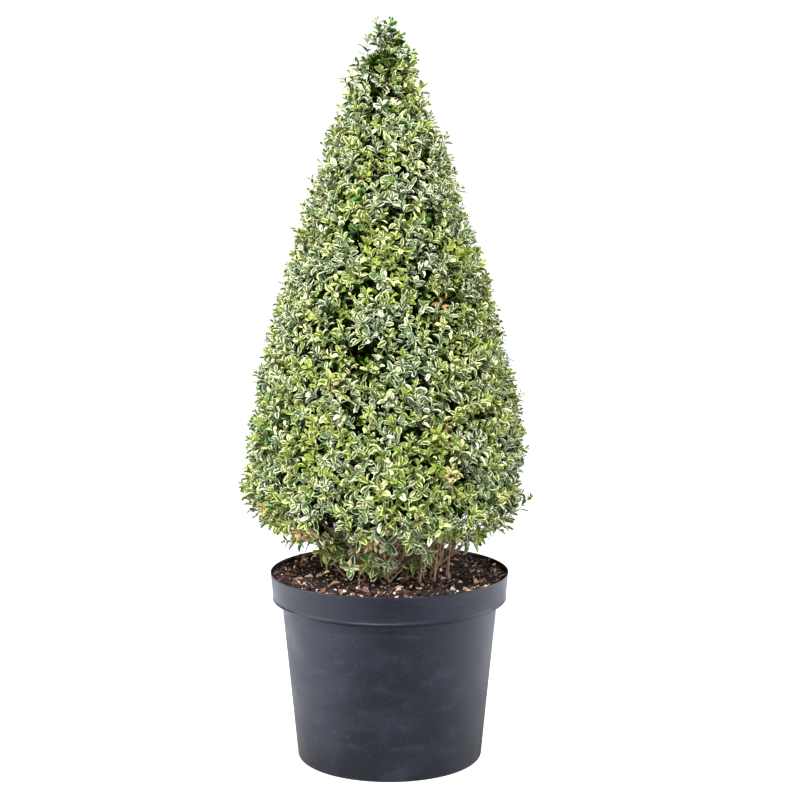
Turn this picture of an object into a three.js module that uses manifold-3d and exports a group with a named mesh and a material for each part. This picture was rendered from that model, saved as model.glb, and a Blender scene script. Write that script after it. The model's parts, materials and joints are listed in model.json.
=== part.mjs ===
// A boxwood clipped to a cone, growing in a round nursery pot filled with bark compost.
// Millimetres, +Z up. The origin is the centre of the pot's flat underside, and -Y is the front.
//
// The plant is a clump: one main stem runs up inside the foliage, and thinner stems fan out from
// the compost round it. Each of those ends where it enters a mass of foliage. The foliage is the
// clipped cone, the loose tip above it, and the low tufts round its foot.
import * as THREE from "three";
import { ImprovedNoise } from "three/addons/math/ImprovedNoise.js";
import { mergeVertices } from "three/addons/utils/BufferGeometryUtils.js";
import Module from "manifold-3d";

const wasm = await Module();
wasm.setup();

// ---- Driving dimensions -------------------------------------------------------------------
const POT = {
  height: 276,
  rimRadius: 172.5, // outside, at the lip
  bandHeight: 40, // the upright band under the lip
  bandTaper: 3.5, // how much narrower the band is at its lower edge
  shoulderDrop: 7, // the sloping step from the band in to the body
  bodyTopRadius: 156, // under that step
  baseRadius: 134.5,
  cornerRadius: 6, // where the side turns under
  wall: 2,
  segments: 56,
  drainHoles: 8,
  drainHoleRadius: 6,
  drainCircle: 102,
};
const COMPOST = {
  edgeBelowLip: 4.5,
  plateauBelowLip: 1, // the level middle, where the stems stand
  plateauRadius: 112,
};
const CONE = {
  skirtRadius: 199, // the widest ring
  skirtHeight: 404, // its height above the pot's underside
  apexHeight: 1066, // where the sides would meet
  cutHeight: 958, // where the loose tip takes over
  sidePower: 1.5, // these two bow the sides outwards
  sideBow: 0.95,
  undersideDepth: 94, // from the widest ring down to the lowest point of the cone
  undersideFill: 0.75, // below 1 keeps the underside full, above 1 hollows it
  offset: -4, // how far its middle stands to the left of the pot's, at the foot
  lean: -3, // and how much further at the top
  rings: 25,
  segments: 44,
  lump: 6, // height of the unevenness
  lumpSize: 46,
};
const TIP = { height: 1064, middle: 952, radius: 56, narrowing: 0.6, lump: 6, lumpSize: 24 };
const TRUNK = { radius: 8.5, tipRadius: 2, flare: 5, flareHeight: 14, topHeight: 1010, sway: 7 };
const STEMS = { count: 13, footRadius: 72, radius: 2.9, endRadius: 1.7, reach: 134 };
const OUTER_TUFTS = { count: 8, ringRadius: 110, height: 345, frontDrop: 10, width: 46, length: 52, depth: 32 };
const INNER_TUFTS = { ringRadius: 66, height: 314, width: 32, depth: 29, headings: [-104, -58, 52, 160] };
const FRONT_DROP = 7; // the inner tuft at the front nearly touches the compost
const TUFT_LUMP = 5;
const TUFT_LUMP_SIZE = 26;

const CUT_GAP = 0.4; // between two pieces that touch
const TRUNK_SIDES = 8;
const STEM_SIDES = 6;
const GROUND = POT.height - COMPOST.plateauBelowLip;

// ---- Materials ----------------------------------------------------------------------------
const plain = (color, roughness) => new THREE.MeshStandardMaterial({ color, roughness, metalness: 0 });
const MATERIALS = {
  pot: plain(0x3c404c, 0.55),
  compost: plain(0x3d2620, 0.95),
  bark: plain(0x8d7357, 0.85),
  foliage: plain(0x9fb477, 0.6),
};

// ---- Helpers ------------------------------------------------------------------------------
const rad = THREE.MathUtils.degToRad;
const noise = new ImprovedNoise();

// A repeatable share from 0 to 1 for the nth thing of a kind.
const share = (n, kind) => {
  const s = Math.sin(n * 127.1 + kind * 311.7) * 43758.5453;
  return s - Math.floor(s);
};
const between = (n, kind, low, high) => low + (high - low) * share(n, kind);

function solidOf(geometry) {
  const bare = new THREE.BufferGeometry().setAttribute("position", geometry.getAttribute("position"));
  bare.setIndex(geometry.index);
  const merged = mergeVertices(bare, 1e-3);
  return new wasm.Manifold(
    new wasm.Mesh({
      numProp: 3,
      vertProperties: merged.attributes.position.array,
      triVerts: new Uint32Array(merged.index.array),
    }),
  );
}

function geometryOf(solid) {
  const mesh = solid.getMesh();
  return new THREE.BufferGeometry()
    .setAttribute("position", new THREE.BufferAttribute(mesh.vertProperties, 3))
    .setIndex(new THREE.BufferAttribute(mesh.triVerts, 1));
}

const largest = (solid) => solid.decompose().reduce((a, b) => (a.volume() > b.volume() ? a : b));
const lowest = (solid) =>
  solid.decompose().reduce((a, b) => (a.boundingBox().min[2] < b.boundingBox().min[2] ? a : b));

// A solid turned about the Z axis from [radius, height] points, which start and end on the axis.
function turned(profile, segments) {
  const points = profile.map(([r, z]) => new THREE.Vector2(r, z));
  return solidOf(new THREE.LatheGeometry(points, segments).rotateX(Math.PI / 2));
}

// Points along an arc of a profile, about a centre, from one angle to another in degrees.
function arc(radius, height, size, from, to, steps) {
  return Array.from({ length: steps + 1 }, (_, i) => {
    const a = rad(from + ((to - from) * i) / steps);
    return [radius + size * Math.cos(a), height + size * Math.sin(a)];
  });
}

// How far the foliage stands out of its smooth shape at a point.
const unevenness = (p, size, lump, seed) =>
  lump * 1.7 * noise.noise(p.x / size + seed, p.y / size - seed, p.z / size + 0.5 * seed);

// A limb of round section that tapers along a curve.
function limb(curve, steps, sides, radiusAt) {
  const frames = curve.computeFrenetFrames(steps, false);
  const geometry = new THREE.CylinderGeometry(1, 1, steps, sides, steps);
  const at = geometry.getAttribute("position");
  for (let i = 0; i < at.count; i++) {
    const step = Math.round(at.getY(i) + steps / 2);
    const p = curve.getPointAt(step / steps);
    const r = radiusAt(p, step / steps);
    p.addScaledVector(frames.normals[step], at.getX(i) * r);
    p.addScaledVector(frames.binormals[step], -at.getZ(i) * r);
    at.setXYZ(i, p.x, p.y, p.z);
  }
  const made = solidOf(geometry);
  return made.volume() > 0 ? made : turnedInsideOut(geometry);
}

function turnedInsideOut(geometry) {
  const order = geometry.index;
  for (let i = 0; i < order.count; i += 3) {
    const second = order.getX(i + 1);
    order.setX(i + 1, order.getX(i + 2));
    order.setX(i + 2, second);
  }
  return solidOf(geometry);
}

// Cuts a limb off level with the compost.
function cutAtGround(solid) {
  const size = 4 * POT.rimRadius;
  const below = new THREE.BoxGeometry(size, size, size).translate(0, 0, GROUND + CUT_GAP - size / 2);
  return solid.subtract(solidOf(below));
}

// ---- Pot and compost ----------------------------------------------------------------------
function pot() {
  const { height, rimRadius, bandHeight, bandTaper, shoulderDrop, bodyTopRadius } = POT;
  const { baseRadius, cornerRadius, wall, segments } = POT;
  const bandFoot = height - bandHeight;
  const shoulder = bandFoot - shoulderDrop;
  const lip = wall / 2;
  const solid = turned(
    [
      [0, 0],
      ...arc(baseRadius - cornerRadius, cornerRadius, cornerRadius, -90, 0, 2),
      [bodyTopRadius, shoulder],
      [rimRadius - bandTaper - 3, bandFoot - 2.5],
      [rimRadius - bandTaper, bandFoot + 1],
      [rimRadius, height - lip],
      ...arc(rimRadius - lip, height - lip, lip, 45, 135, 2),
      [rimRadius - wall, height - lip],
      [rimRadius - bandTaper - wall, bandFoot + wall + 1],
      [bodyTopRadius - wall, shoulder + wall],
      [baseRadius - wall, cornerRadius],
      [baseRadius - cornerRadius, wall + 0.5],
      [0, wall + 0.5],
    ],
    segments,
  );
  const holes = [];
  for (let i = 0; i < POT.drainHoles; i++) {
    const heading = rad((360 * (i + 0.5)) / POT.drainHoles);
    const hole = new THREE.CylinderGeometry(POT.drainHoleRadius, POT.drainHoleRadius, 20, 12)
      .rotateX(Math.PI / 2)
      .translate(POT.drainCircle * Math.cos(heading), POT.drainCircle * Math.sin(heading), 0);
    holes.push(solidOf(hole));
  }
  return holes.reduce((body, hole) => body.subtract(hole), solid);
}

// Fills the pot to just under its lip, and rises a little to the level middle.
function compost() {
  const { height, rimRadius, bandHeight, bandTaper, shoulderDrop, bodyTopRadius } = POT;
  const { baseRadius, cornerRadius, wall, segments } = POT;
  const gap = wall + CUT_GAP;
  const bandFoot = height - bandHeight;
  return turned(
    [
      [0, wall + 0.5 + CUT_GAP],
      [baseRadius - cornerRadius - 1, wall + 0.5 + CUT_GAP],
      [baseRadius - gap, cornerRadius + 1],
      [bodyTopRadius - gap, bandFoot - shoulderDrop + wall],
      [rimRadius - bandTaper - gap, bandFoot + wall + 2],
      [rimRadius - gap - 0.2, height - COMPOST.edgeBelowLip],
      [COMPOST.plateauRadius, GROUND],
      [0, GROUND],
    ],
    segments,
  );
}

// ---- Stems --------------------------------------------------------------------------------
const leanAt = (z) => (CONE.lean * (z - GROUND)) / (CONE.apexHeight - GROUND);
const middleAt = (z) => CONE.offset + leanAt(z);

// The main stem, with its root flare, from the compost to its tip inside the cone.
function trunk(grow = 0) {
  const rise = TRUNK.topHeight - GROUND;
  const points = Array.from({ length: 7 }, (_, i) => {
    const z = GROUND - 12 + ((rise + 12) * i) / 6;
    const sway = i === 0 ? 0 : TRUNK.sway;
    const rightOf = z < GROUND ? 0 : middleAt(z) * Math.min(1, (z - GROUND) / 120);
    return new THREE.Vector3(rightOf + sway * Math.sin(i * 1.9), sway * 0.7 * Math.cos(i * 2.3), z);
  });
  const radiusAt = (p, t) => {
    const flare = TRUNK.flare * Math.exp(-Math.max(0, p.z - GROUND) / TRUNK.flareHeight);
    return TRUNK.radius + (TRUNK.tipRadius - TRUNK.radius) * Math.max(0, t) ** 0.8 + flare + grow;
  };
  return limb(new THREE.CatmullRomCurve3(points), 20, TRUNK_SIDES, radiusAt);
}

// The nth of the thin stems that fan out round the trunk and arch up into the foliage.
function stem(n) {
  const heading = rad((360 * (n + 0.5)) / STEMS.count + between(n, 1, -7, 7));
  const foot = STEMS.footRadius * between(n, 2, 0.55, 1.25);
  const reach = STEMS.reach * between(n, 3, 0.86, 1.16);
  const rise = between(n, 4, 66, 86);
  const along = (r, z, turn = 0) =>
    new THREE.Vector3(r * Math.cos(heading + turn), r * Math.sin(heading + turn), GROUND + z);
  const bend = between(n, 5, -0.14, 0.14);
  const curve = new THREE.CatmullRomCurve3([
    along(foot - 5, -12),
    along(foot, 3),
    along(foot + 0.3 * (reach - foot), 0.34 * rise, bend),
    along(foot + 0.7 * (reach - foot), 0.7 * rise, bend),
    along(reach, rise, 0.4 * bend),
  ]);
  const thickness = between(n, 6, 0.8, 1.25);
  const radiusAt = (p, t) => thickness * (STEMS.radius + (STEMS.endRadius - STEMS.radius) * t);
  return limb(curve, 8, STEM_SIDES, radiusAt);
}

// ---- Foliage ------------------------------------------------------------------------------
const sideRadius = (z) => {
  const t = Math.min(1, (z - CONE.skirtHeight) / (CONE.apexHeight - CONE.skirtHeight));
  return CONE.skirtRadius * (1 - t ** CONE.sidePower) ** CONE.sideBow;
};

// The clipped cone: bowed sides over a rounded underside.
function cone(grow = 0) {
  const underRings = 7;
  const profile = [];
  for (let i = 0; i <= underRings; i++) {
    const a = (Math.PI / 2) * (i / underRings);
    profile.push([CONE.skirtRadius * Math.sin(a) ** CONE.undersideFill, CONE.skirtHeight - CONE.undersideDepth * Math.cos(a)]);
  }
  const sideRings = CONE.rings - underRings - 1;
  for (let i = 1; i <= sideRings; i++) {
    const z = CONE.skirtHeight + ((CONE.cutHeight - CONE.skirtHeight) * i) / sideRings;
    profile.push([sideRadius(z), z]);
  }
  profile.push([0, CONE.cutHeight + 8]);
  const points = profile.map(([r, z]) => new THREE.Vector2(r, z));
  const geometry = new THREE.LatheGeometry(points, CONE.segments).rotateX(Math.PI / 2);
  const middle = 0.5 * (CONE.skirtHeight + CONE.cutHeight);
  return solidOf(roughened(geometry, middle, CONE.lumpSize, CONE.lump, 3.1, grow, middleAt));
}

// Pushes each vertex away from the middle by the unevenness there, then leans the shape.
function roughened(geometry, middle, size, lump, seed, grow, lean = () => 0) {
  const merged = mergeVertices(
    new THREE.BufferGeometry().setAttribute("position", geometry.getAttribute("position")).setIndex(geometry.index),
    1e-3,
  );
  merged.computeVertexNormals();
  const at = merged.getAttribute("position");
  const out = merged.getAttribute("normal");
  const p = new THREE.Vector3();
  const n = new THREE.Vector3();
  for (let i = 0; i < at.count; i++) {
    p.fromBufferAttribute(at, i);
    n.fromBufferAttribute(out, i);
    if (n.x * p.x + n.y * p.y + n.z * (p.z - middle) < 0) n.negate();
    p.addScaledVector(n, unevenness(p, size, lump, seed) + grow);
    at.setXYZ(i, p.x + lean(p.z), p.y, p.z);
  }
  return merged;
}

// A rounded mass of its own uneven shape, at a place, turned to face a heading.
function tuft(place, heading, length, width, depth, seed, grow) {
  const geometry = new THREE.SphereGeometry(1, 11, 7).rotateX(Math.PI / 2).scale(length, width, depth);
  const rough = roughened(geometry, 0, TUFT_LUMP_SIZE, TUFT_LUMP, seed, grow);
  return solidOf(rough.rotateZ(heading).translate(place.x, place.y, place.z));
}

// The loose top of the plant, which stands out of the cone's cut end.
function tip(grow = 0) {
  const half = TIP.height - TIP.middle;
  const geometry = new THREE.SphereGeometry(1, 13, 9).rotateX(Math.PI / 2);
  const at = geometry.getAttribute("position");
  for (let i = 0; i < at.count; i++) {
    const narrow = TIP.radius * (1 - TIP.narrowing * Math.max(0, at.getZ(i)));
    at.setXYZ(i, at.getX(i) * narrow, at.getY(i) * 0.94 * narrow, at.getZ(i) * half);
  }
  const rough = roughened(geometry, 0, TIP.lumpSize, TIP.lump, 7.7, grow);
  return solidOf(rough.rotateZ(0.4).translate(middleAt(TIP.middle), 0, TIP.middle));
}

// The low tufts: an outer ring of them under the cone, and an inner ring that hangs lower, most of
// all at the front.
function lowTufts() {
  const made = [];
  for (let i = 0; i < OUTER_TUFTS.count; i++) {
    const heading = rad((360 * (i + 0.25)) / OUTER_TUFTS.count + between(i, 11, -8, 8));
    const r = OUTER_TUFTS.ringRadius * between(i, 12, 0.93, 1.1);
    const forward = Math.max(0, -Math.sin(heading));
    const z = OUTER_TUFTS.height + between(i, 13, -6, 6) - OUTER_TUFTS.frontDrop * forward;
    const place = new THREE.Vector3(r * Math.cos(heading), r * Math.sin(heading), z);
    const width = OUTER_TUFTS.width * between(i, 14, 0.88, 1.1);
    made.push((grow) => tuft(place, heading, OUTER_TUFTS.length, width, OUTER_TUFTS.depth, 10 + 3.3 * i, grow));
  }
  INNER_TUFTS.headings.forEach((degrees, i) => {
    const heading = rad(degrees);
    const r = INNER_TUFTS.ringRadius;
    const z = INNER_TUFTS.height - (i === 0 ? FRONT_DROP : between(i, 15, -6, 4));
    const place = new THREE.Vector3(r * Math.cos(heading), r * Math.sin(heading), z);
    const { width, depth } = INNER_TUFTS;
    made.push((grow) => tuft(place, heading, width, width, depth, 50 + 4.1 * i, grow));
  });
  return made;
}

// ---- Assembly -----------------------------------------------------------------------------
const plant = new THREE.Group();

function add(name, solid, material) {
  const mesh = new THREE.Mesh(geometryOf(solid), material);
  mesh.name = name;
  plant.add(mesh);
}

add("pot", pot(), MATERIALS.pot);
add("compost", compost(), MATERIALS.compost);
add("trunk", cutAtGround(trunk()), MATERIALS.bark);

const roundTrunk = trunk(CUT_GAP);
add("foliage_cone", largest(cone().subtract(roundTrunk)), MATERIALS.foliage);
add("foliage_tip", largest(tip().subtract(cone(CUT_GAP)).subtract(roundTrunk)), MATERIALS.foliage);

const taken = [cone(CUT_GAP), roundTrunk]; // each mass keeps clear of those before it
lowTufts().forEach((make, i) => {
  const clear = taken.reduce((body, other) => body.subtract(other), make(0));
  add(`foliage_low_${i + 1}`, largest(clear), MATERIALS.foliage);
  taken.push(make(CUT_GAP));
});

for (let n = 0; n < STEMS.count; n++) {
  const clear = taken.reduce((body, other) => body.subtract(other), cutAtGround(stem(n)));
  add(`stem_${n + 1}`, lowest(clear), MATERIALS.bark);
}

export default plant;
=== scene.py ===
"""A boxwood clipped to a cone, in a nursery pot of bark compost.

The frame's limbs are followed by bark-covered stems that go on into the foliage. Boughs,
branches and twigs grow on from them by a seeded rule until every part of each mass of
foliage is reached, and each twig ends in a spray of leaves. Everything is in metres, with
the origin under the middle of the pot.
"""

import itertools
import json
import math
import random

import bmesh
import bpy
import numpy as np
from bpy.props import FloatProperty, FloatVectorProperty, IntProperty, PointerProperty
from mathutils import Matrix, Vector, noise
from mathutils.bvhtree import BVHTree
from mathutils.kdtree import KDTree

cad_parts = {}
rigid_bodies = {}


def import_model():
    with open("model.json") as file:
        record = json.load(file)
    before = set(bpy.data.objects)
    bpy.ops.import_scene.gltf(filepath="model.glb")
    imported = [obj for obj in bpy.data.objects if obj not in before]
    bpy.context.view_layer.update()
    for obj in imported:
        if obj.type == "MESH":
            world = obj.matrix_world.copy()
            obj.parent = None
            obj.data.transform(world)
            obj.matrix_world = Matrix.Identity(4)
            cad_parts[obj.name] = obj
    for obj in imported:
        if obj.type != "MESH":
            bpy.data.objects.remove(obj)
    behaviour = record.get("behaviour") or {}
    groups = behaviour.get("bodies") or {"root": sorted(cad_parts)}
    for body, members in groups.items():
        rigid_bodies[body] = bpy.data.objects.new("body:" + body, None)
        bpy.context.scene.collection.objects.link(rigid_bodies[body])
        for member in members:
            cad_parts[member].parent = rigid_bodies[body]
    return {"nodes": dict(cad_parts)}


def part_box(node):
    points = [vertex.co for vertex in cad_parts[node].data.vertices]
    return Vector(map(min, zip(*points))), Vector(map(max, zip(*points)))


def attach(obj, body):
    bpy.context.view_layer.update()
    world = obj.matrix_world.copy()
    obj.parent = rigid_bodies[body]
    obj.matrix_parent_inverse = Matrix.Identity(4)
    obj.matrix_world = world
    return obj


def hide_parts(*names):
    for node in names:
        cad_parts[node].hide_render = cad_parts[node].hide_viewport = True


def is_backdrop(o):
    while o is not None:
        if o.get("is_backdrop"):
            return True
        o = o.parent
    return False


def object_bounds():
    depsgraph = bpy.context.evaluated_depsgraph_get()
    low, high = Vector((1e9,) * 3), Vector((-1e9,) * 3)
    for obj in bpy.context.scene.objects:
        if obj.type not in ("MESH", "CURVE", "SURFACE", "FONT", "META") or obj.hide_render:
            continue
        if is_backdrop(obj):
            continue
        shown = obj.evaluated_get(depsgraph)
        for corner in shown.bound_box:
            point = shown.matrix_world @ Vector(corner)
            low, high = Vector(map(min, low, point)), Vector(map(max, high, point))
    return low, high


bl_info = {
    "name": "Clipped boxwood in a pot",
    "version": (1, 0, 0),
    "blender": (4, 5, 0),
    "location": "3D View > Sidebar > Boxwood",
    "description": "Makes a variegated boxwood cone in a nursery pot, over its CAD frame",
    "category": "Add Mesh",
}

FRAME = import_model()
CAD_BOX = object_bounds()
NODES = FRAME["nodes"]
MASSES = sorted(n for n in NODES if n.startswith("foliage_"))
INNER_TUFTS = [f"foliage_low_{i}" for i in range(9, 13)]
STEMS = sorted((n for n in NODES if n.startswith("stem_")), key=lambda n: int(n[5:]))
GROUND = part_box("compost")[1][2]
POT_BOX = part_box("pot")
POT_FOOT = 0.1345  # the radius of the pot's side where it meets the underside
POT_WAIST = 0.156  # and where it meets the step under the band
BED_EDGE = POT_BOX[1][0] - 0.0026  # the radius of the compost's top
UP = Vector((0, 0, 1))
GOLDEN_ANGLE = math.pi * (3 - math.sqrt(5))

# Name, label and colour of each plain colour that the leaves are dealt.
LEAF_COLOURS = [
    ("teal", "Deep blue-green", "284a30"),
    ("dark", "Dark green", "254304"),
    ("leaf", "Leaf green", "3d6808"),
    ("sage", "Grey-green", "567440"),
    ("lime", "Lime", "7f9424"),
    ("olive", "Olive green", "5c7810"),
    # Painted shade: a near-black green for the leaves deep inside the plant, which darkens the gaps.
    ("shade", "Leaf kept in shade", "1a2b02"),
    ("plain", "All-green leaf", "3c6e2c"),
    ("white", "White margin", "dce1bf"),
    ("cream", "Cream margin", "dcdeae"),
    ("butter", "Yellow margin", "d7d79b"),
    ("young", "Yellow-green margin", "b9c278"),
    ("straw", "Straw", "cdb986"),
    ("rust", "Dead leaf", "a07a50"),
]
TINT = {key: i for i, (key, _, _) in enumerate(LEAF_COLOURS)}


def linear(code):
    """The linear colour of six hex digits."""
    parts = [int(code[i : i + 2], 16) / 255 for i in (0, 2, 4)]
    return tuple(c / 12.92 if c <= 0.04045 else ((c + 0.055) / 1.055) ** 2.4 for c in parts)


def lerp(a, b, t):
    """The value at a share of the way from one to another."""
    return a + (b - a) * t


def around(heading, r=1.0, z=0.0):
    """The spot at a heading, a distance from the upright axis and a height."""
    return Vector((r * math.cos(heading), r * math.sin(heading), z))


def length(name, description, default):
    """A length setting, kept in metres."""
    return FloatProperty(
        name=name, description=description, default=default, min=0, unit="LENGTH", precision=4
    )


def colour(name, description, code):
    """A colour setting, from six hex digits."""
    return FloatVectorProperty(
        name=name, description=description, default=linear(code), size=3, subtype="COLOR", min=0, max=1
    )


def whole(name, description, default):
    """A whole-number setting."""
    return IntProperty(name=name, description=description, default=default, min=0)


def density(name, description, default):
    """A setting in pieces per square metre."""
    return FloatProperty(name=name, description=f"{description} per square metre", default=default, min=0)


# ---- Settings -----------------------------------------------------------------------------
class BoxwoodPotSettings(bpy.types.PropertyGroup):
    """The nursery pot."""

    band: length("Band height", "Height of the upright band under the lip", 0.040)
    band_taper: length("Band taper", "How much narrower the band is at its lower edge", 0.0035)
    shoulder: length("Shoulder", "Drop of the step under the band", 0.007)
    corner: length("Corner radius", "Rounding where the side turns under", 0.006)
    wall: length("Wall", "Thickness of the wall", 0.002)
    drain_hole: length("Drain hole radius", "Radius of each hole in the underside", 0.006)
    drain_circle: length("Drain circle radius", "Radius of the circle the holes stand on", 0.102)
    drain_holes: whole("Drain holes", "Holes in the underside", 8)
    plastic: colour("Plastic", "Colour of the clean plastic", "0c0e15")
    dust: colour("Dust", "Colour of dust and scuffs", "5e617b")


class BoxwoodCompostSettings(bpy.types.PropertyGroup):
    """The compost and what lies on it."""

    bumps: length("Bumps", "Height of the unevenness", 0.0022)
    chip: length("Chip", "Length of a bark chip", 0.0145)
    chip_density: density("Chip density", "Bark chips", 36000)
    crumb_density: density("Crumb density", "Crumbs", 13000)
    speck_density: density("Speck density", "White specks", 1500)
    sliver_density: density("Sliver density", "Slivers of wood", 2600)
    fallen_density: density("Fallen leaves", "Dry leaves", 420)
    seed: whole("Seed", "Seed of the scattering", 4)
    # Near-black: partly the compost's own colour and partly painted shade in the gaps between the chips.
    soil: colour("Soil", "Colour of the fine compost", "090504")


class BoxwoodPlantSettings(bpy.types.PropertyGroup):
    """The limbs and the leaves."""

    seed: whole("Seed", "Seed of all branching", 11)
    boughs: whole("Boughs", "Boughs along the trunk", 44)
    forks: whole("Forks", "Thin bare shoots that leave each low stem", 10)
    uprights: whole("Uprights", "Thin shoots that rise straight from the compost", 26)
    spacing: length("Spray spacing", "Distance between sprays at the surface", 0.0136)
    leaf_length: length("Leaf length", "Length of a full-grown leaf", 0.0160)
    leaf_width: length("Leaf width", "Width of a full-grown leaf", 0.0076)
    pair_step: length("Pair step", "Distance between two pairs of leaves", 0.0058)
    relief: length("Bark relief", "Height of the bark's ridges on the trunk", 0.0006)
    bark: colour("Bark", "Colour of the trunk and stems", "b1967a")
    crevice: colour("Crevice", "Colour in the bark's furrows", "54432f")
    twig: colour("Twig", "Colour of the twigs", "62632c")
    low_twig: colour("Low twig", "Colour of the dry twigs round the foot", "b39a78")


BoxwoodPlantSettings.__annotations__.update(
    {key: colour(label, "Colour dealt to the leaves", code) for key, label, code in LEAF_COLOURS}
)


class BoxwoodSettings(bpy.types.PropertyGroup):
    """Everything that can be changed."""

    pot: PointerProperty(type=BoxwoodPotSettings)
    compost: PointerProperty(type=BoxwoodCompostSettings)
    plant: PointerProperty(type=BoxwoodPlantSettings)


# ---- Node helpers -------------------------------------------------------------------------
def put(tree, kind, inputs=None, **settings):
    """Adds a node, sets it, and links or sets its inputs by name or place."""
    made = tree.nodes.new(kind)
    for key, value in settings.items():
        setattr(made, key, value)
    for key, value in (inputs or {}).items():
        if isinstance(key, int):
            socket = made.inputs[key]
        else:
            socket = next(s for s in made.inputs if s.name == key and s.enabled)
        if isinstance(value, bpy.types.NodeSocket):
            tree.links.new(value, socket)
        else:
            socket.default_value = value
    return made


def out(node, name=None):
    """A node's first output in use, or the one of that name."""
    return next(s for s in node.outputs if s.enabled and (name is None or s.name == name))


def maths(tree, operation, *values):
    """The result of a Math node."""
    return out(put(tree, "ShaderNodeMath", dict(enumerate(values)), operation=operation))


def stepped(tree, value, start, end, low=0.0, high=1.0, **settings):
    """A value that goes from one level to another as the given one goes from start to end."""
    inputs = {"Value": value, "From Min": start, "From Max": end, "To Min": low, "To Max": high}
    return out(put(tree, "ShaderNodeMapRange", inputs, **settings))


def times(tree, vector, by):
    """A vector times another, part by part."""
    return out(put(tree, "ShaderNodeVectorMath", {0: vector, 1: by}, operation="MULTIPLY"))


def attribute(tree, name, kind):
    """A named attribute's value in a geometry tree."""
    return out(put(tree, "GeometryNodeInputNamedAttribute", {"Name": name}, data_type=kind))


def geometry_tree(name, inputs):
    """A geometry tree with named inputs, {name: (socket type, default)}, and its input node."""
    tree = bpy.data.node_groups.new(name, "GeometryNodeTree")
    tree.interface.new_socket("Geometry", in_out="INPUT", socket_type="NodeSocketGeometry")
    tree.interface.new_socket("Geometry", in_out="OUTPUT", socket_type="NodeSocketGeometry")
    add_inputs(tree, inputs)
    return tree, tree.nodes.new("NodeGroupInput")


def add_inputs(tree, inputs):
    """Adds named inputs to a tree's interface."""
    for key, (kind, default) in inputs.items():
        socket = tree.interface.new_socket(key, in_out="INPUT", socket_type=kind)
        if default is not None:
            socket.default_value = default


def end_tree(tree, geometry, materials, tint=None):
    """Ends a tree in Realize Instances and Set Material, one for each tint."""
    geometry = out(put(tree, "GeometryNodeRealizeInstances", {"Geometry": geometry}))
    for i, material in enumerate(materials):
        inputs = {"Geometry": geometry, "Material": material}
        if tint is not None:
            inputs["Selection"] = equals(tree, tint, i)
        geometry = out(put(tree, "GeometryNodeSetMaterial", inputs))
    put(tree, "NodeGroupOutput", {0: geometry})
    return tree


def equals(tree, value, number):
    """Whether a whole number in a geometry tree is this one."""
    inputs = {"A": value, "B": number}
    return out(put(tree, "FunctionNodeCompare", inputs, data_type="INT", operation="EQUAL"))


def placed_shapes(tree, given, points, index, rotation, scale):
    """Puts one of the given collection's shapes at each point."""
    inputs = {"Collection": given.outputs["Shapes"], "Separate Children": True, "Reset Children": True}
    shapes = out(put(tree, "GeometryNodeCollectionInfo", inputs))
    inputs = {
        "Points": points,
        "Instance": shapes,
        "Pick Instance": True,
        "Instance Index": index,
        "Rotation": rotation,
        "Scale": scale,
    }
    return out(put(tree, "GeometryNodeInstanceOnPoints", inputs))


def piece_of(mesh, name):
    """A new object of the scene with this mesh."""
    made = bpy.data.objects.new(name, mesh)
    bpy.context.scene.collection.objects.link(made)
    return made


def run_tree(tree, name, start, settings):
    """Runs a geometry tree on a mesh, and keeps what it makes as a plain mesh."""
    made = piece_of(start, name)
    modifier = made.modifiers.new("Shape", "NODES")
    modifier.node_group = tree
    for item in tree.interface.items_tree:
        if item.in_out == "INPUT" and item.name in settings:
            modifier[item.identifier] = settings[item.name]
    bake(made, modifier)
    made.data.name = name
    bpy.data.meshes.remove(start)
    drop_empty_slot(made.data)
    return made


def bake(piece, modifier):
    """Gives a piece the mesh that its modifier makes, and takes the modifier off."""
    graph = bpy.context.evaluated_depsgraph_get()
    mesh = bpy.data.meshes.new_from_object(
        piece.evaluated_get(graph), preserve_all_data_layers=True, depsgraph=graph
    )
    piece.modifiers.remove(modifier)
    piece.data = mesh


def drop_empty_slot(mesh):
    """Takes out the empty first material slot that the template shapes leave behind."""
    if mesh.materials and mesh.materials[0] is None:
        slots = np.empty(len(mesh.polygons), np.int32)
        mesh.polygons.foreach_get("material_index", slots)
        mesh.materials.pop(index=0)
        mesh.polygons.foreach_set("material_index", np.maximum(slots - 1, 0))


def kept(piece, slot, *nodes):
    """Hands a finished piece over to the frame."""
    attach(piece, "root")
    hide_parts(*nodes)
    return piece


def with_values(mesh, **values):
    """Gives each vertex of a mesh its values, as named attributes."""
    for key, value in values.items():
        array = np.asarray(value)
        if array.dtype.kind in "iu":
            kind, field = "INT", "value"
        else:
            kind, field = [("FLOAT", "value"), ("FLOAT_VECTOR", "vector")][array.ndim - 1]
        mesh.attributes.new(key, kind, "POINT").data.foreach_set(field, array.ravel())
    return mesh


# ---- Materials ----------------------------------------------------------------------------
def material_of(name):
    """A material and its tree and its Principled BSDF."""
    made = bpy.data.materials.new(name)
    made.use_nodes = True
    return made, made.node_tree, made.node_tree.nodes["Principled BSDF"]


def plain(name, tone, roughness=0.5, specular=0.5):
    """A material of one colour."""
    made, _, shader = material_of(name)
    shader.inputs["Base Color"].default_value = (*tone, 1)
    shader.inputs["Roughness"].default_value = roughness
    shader.inputs["Specular IOR Level"].default_value = specular
    made.diffuse_color = (*tone, 1)
    return made


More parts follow.
